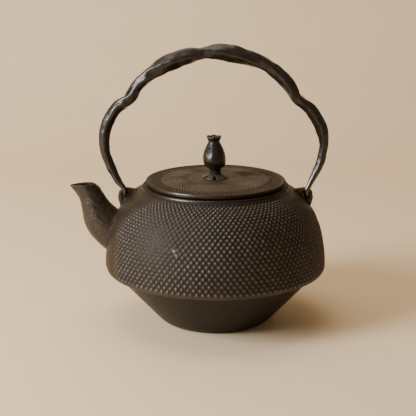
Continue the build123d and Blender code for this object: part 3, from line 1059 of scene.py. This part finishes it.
def iron(name, dark, light, worn, stain, rough, grain_mm, grain_depth, relief=False, tint=None):
    """Iron: two-tone colour, stains, worn points, uneven sheen and a fine cast or forged grain.

    With relief, valleys are darker, dots' tops worn and chips bare. With tint, painted parts take that
    colour and a weaker reflection, and polish makes parts glossier or duller.
    """
    material = bpy.data.materials.new(name)
    material.use_nodes = True
    tree = material.node_tree
    shader = tree.nodes["Principled BSDF"]
    colour = mix(tree, spread(tree, noise(tree, 22.0), 0.35, 0.65), dark, light)
    colour = mix(tree, spread(tree, noise(tree, 9.0, 6.0, 0.65), 0.52, 0.74, 0.0, 0.7), colour, stain)
    colour = mix(tree, spread(tree, noise(tree, 1.1, 3.0), 0.3, 0.7, 0.0, 0.35), colour, dark)
    sheen = spread(tree, noise(tree, 3.0, 5.0), 0.3, 0.7, *rough)
    if tint:
        share, polish = painted(tree, "tint"), painted(tree, "polish")
        colour = mix(tree, times(tree, share, 0.9), colour, tint)
        glossy, dull = spread(tree, polish, 0.0, 1.0, 0.0, 0.6), spread(tree, polish, -0.7, 0.0, -0.12, 0.0)
        reflection = plus(tree, spread(tree, share, 0.0, 1.0, 0.5, 0.18), plus(tree, glossy, dull))
        tree.links.new(reflection, shader.inputs["Specular IOR Level"])
        sheen = plus(tree, sheen, times(tree, polish, -0.3))
    if relief:
        height = painted(tree, "relief")
        wear_mask = spread(tree, height, 0.62, 1.05)
        pit = tuple(0.25 * channel for channel in dark)
        colour = mix(tree, spread(tree, height, 0.0, 0.4, 0.85, 0.0), colour, pit)
    else:
        geometry = node(tree, "ShaderNodeNewGeometry")
        wear_mask = spread(tree, geometry.outputs["Pointiness"], *EDGE_WEAR)
    wear_mask = times(tree, wear_mask, spread(tree, noise(tree, 5.0), 0.3, 0.6, 0.45, 1.0))
    colour = mix(tree, wear_mask, colour, worn)
    if relief:
        colour = mix(tree, spread(tree, height, 1.2, 1.5, 0.0, 0.55), colour, BARE_IRON)
    tree.links.new(colour, shader.inputs["Base Color"])
    sheen = plus(tree, sheen, times(tree, wear_mask, -0.16 if relief else -0.1))
    tree.links.new(sheen, shader.inputs["Roughness"])
    grain = node(tree, "ShaderNodeBump")
    grain.inputs["Strength"].default_value = 0.8
    grain.inputs["Distance"].default_value = grain_depth * MM
    bumps = plus(tree, noise(tree, grain_mm, 3.0), times(tree, noise(tree, 4 * grain_mm, 2.0), 0.8))
    tree.links.new(bumps, grain.inputs["Height"])
    tree.links.new(grain.outputs["Normal"], shader.inputs["Normal"])
    return material


# Colours, range of roughness, and size and depth of the grain in millimetres.
LOOKS = {
    # The body's tint darkens the plain patches, the neck and the spout, and the cone below the skirt, where
    # it is partly painted shade.
    "cast_iron_body": dict(
        dark=(0.019, 0.0115, 0.006), light=(0.038, 0.0235, 0.013), worn=(0.095, 0.068, 0.046),
        stain=(0.032, 0.017, 0.007), tint=(0.009, 0.0055, 0.003), relief=True,
        rough=(0.36, 0.52), grain_mm=0.9, grain_depth=0.17,
    ),
    "cast_iron_lid": dict(
        dark=(0.036, 0.020, 0.0085), light=(0.072, 0.042, 0.018), worn=(0.19, 0.125, 0.07),
        stain=(0.046, 0.024, 0.009), tint=(0.010, 0.006, 0.0035), relief=True,
        rough=(0.46, 0.62), grain_mm=0.45, grain_depth=0.08,
    ),
    "forged_iron": dict(
        dark=(0.007, 0.005, 0.0035), light=(0.017, 0.012, 0.0085), worn=(0.04, 0.032, 0.026),
        stain=(0.017, 0.010, 0.0055), tint=(0.007, 0.005, 0.0035),
        rough=(0.22, 0.4), grain_mm=0.8, grain_depth=0.12,
    ),
    "knob_metal": dict(
        dark=(0.006, 0.0045, 0.0035), light=(0.013, 0.0095, 0.007), worn=(0.045, 0.034, 0.027),
        stain=(0.013, 0.008, 0.005), tint=(0.020, 0.0145, 0.0105),
        rough=(0.27, 0.38), grain_mm=0.9, grain_depth=0.02,
    ),
    "petal_iron": dict(
        dark=(0.022, 0.0155, 0.010), light=(0.044, 0.031, 0.020), worn=(0.10, 0.075, 0.052),
        stain=(0.036, 0.022, 0.011),
        rough=(0.5, 0.65), grain_mm=0.6, grain_depth=0.05,
    ),
    "pin_steel": dict(
        dark=(0.10, 0.09, 0.08), light=(0.20, 0.18, 0.16), worn=(0.35, 0.33, 0.3), stain=(0.12, 0.07, 0.04),
        rough=(0.35, 0.55), grain_mm=0.4, grain_depth=0.05,
    ),
}
MATERIALS = {name: iron(name, **look) for name, look in LOOKS.items()}

build_body()
build_handle()
build_lid()
build_knob()
build_seat()
build_pin()
build_washer()

# ---------------------------------------------------------------- stage, light and camera
# Floor and wall in metres.
FLOOR_HALF = 2.6
WALL_Y = 1.1
WALL_BEND = 0.5
WALL_TOP = 2.4
FLOOR_COLOURS = ((0.75, 0.595, 0.405), (0.79, 0.63, 0.43))
ROOM_COLOUR = (0.9, 0.68, 0.45, 1)
ROOM_STRENGTH = 0.32
CAMERA_PLACE = (-0.00658, -0.980, 0.3537)
CAMERA_DOWN = math.radians(14.56)


def add_stage():
    """A pale floor that bends up into a plain wall behind."""
    foot = WALL_Y - WALL_BEND
    quarter = np.linspace(0, math.pi / 2, 25)
    bend = [(foot + WALL_BEND * math.sin(t), WALL_BEND - WALL_BEND * math.cos(t)) for t in quarter]
    line = [(-FLOOR_HALF, 0.0), *bend, (WALL_Y, WALL_TOP)]
    points = np.array([(x, y, z) for y, z in line for x in (-FLOOR_HALF, FLOOR_HALF)])
    row = np.arange(len(line) - 1)[:, None] * 2
    sweep = add_mesh("backdrop", points / MM, [row + np.array([0, 1, 3, 2])])
    material = bpy.data.materials.new("pale_floor")
    material.use_nodes = True
    tree = material.node_tree
    shader = tree.nodes["Principled BSDF"]
    tree.links.new(mix(tree, noise(tree, 60.0, 2.0), *FLOOR_COLOURS), shader.inputs["Base Color"])
    shader.inputs["Roughness"].default_value = 0.7
    sweep.data.materials.append(material)


def add_area_light(name, place, target, size, power, colour):
    """A soft rectangular light that points at the target."""
    light = bpy.data.lights.new(name, "AREA")
    light.shape = "RECTANGLE"
    light.size, light.size_y = size
    light.energy = power
    light.color = colour
    lamp = bpy.data.objects.new(name, light)
    bpy.context.scene.collection.objects.link(lamp)
    lamp.location = place
    lamp.rotation_euler = (Vector(target) - Vector(place)).to_track_quat("-Z", "Y").to_euler()


def add_world():
    """Dim warm light from all sides."""
    world = bpy.data.worlds.new("room")
    bpy.context.scene.world = world
    world.use_nodes = True
    background = world.node_tree.nodes["Background"]
    background.inputs["Color"].default_value = ROOM_COLOUR
    background.inputs["Strength"].default_value = ROOM_STRENGTH


def add_camera():
    """The camera in front of the kettle, a little above it, as in the photo."""
    lens = bpy.data.cameras.new("camera")
    lens.lens = 100.0
    lens.sensor_width = 36.0
    camera = bpy.data.objects.new("camera", lens)
    bpy.context.scene.collection.objects.link(camera)
    camera.location = CAMERA_PLACE
    camera.rotation_euler = (math.pi / 2 - CAMERA_DOWN, 0, 0)
    bpy.context.scene.camera = camera


add_stage()
add_area_light(
    "window", place=(-1.15, -0.62, 0.75), target=(0, 0, 0.09), size=(0.55, 0.75),
    power=38, colour=(0.97, 0.97, 0.95),
)
add_area_light(
    "ceiling", place=(-0.3, 0.3, 1.7), target=(0, 0, 0.1), size=(1.3, 1.3),
    power=15, colour=(1.0, 0.88, 0.72),
)
add_world()
add_camera()
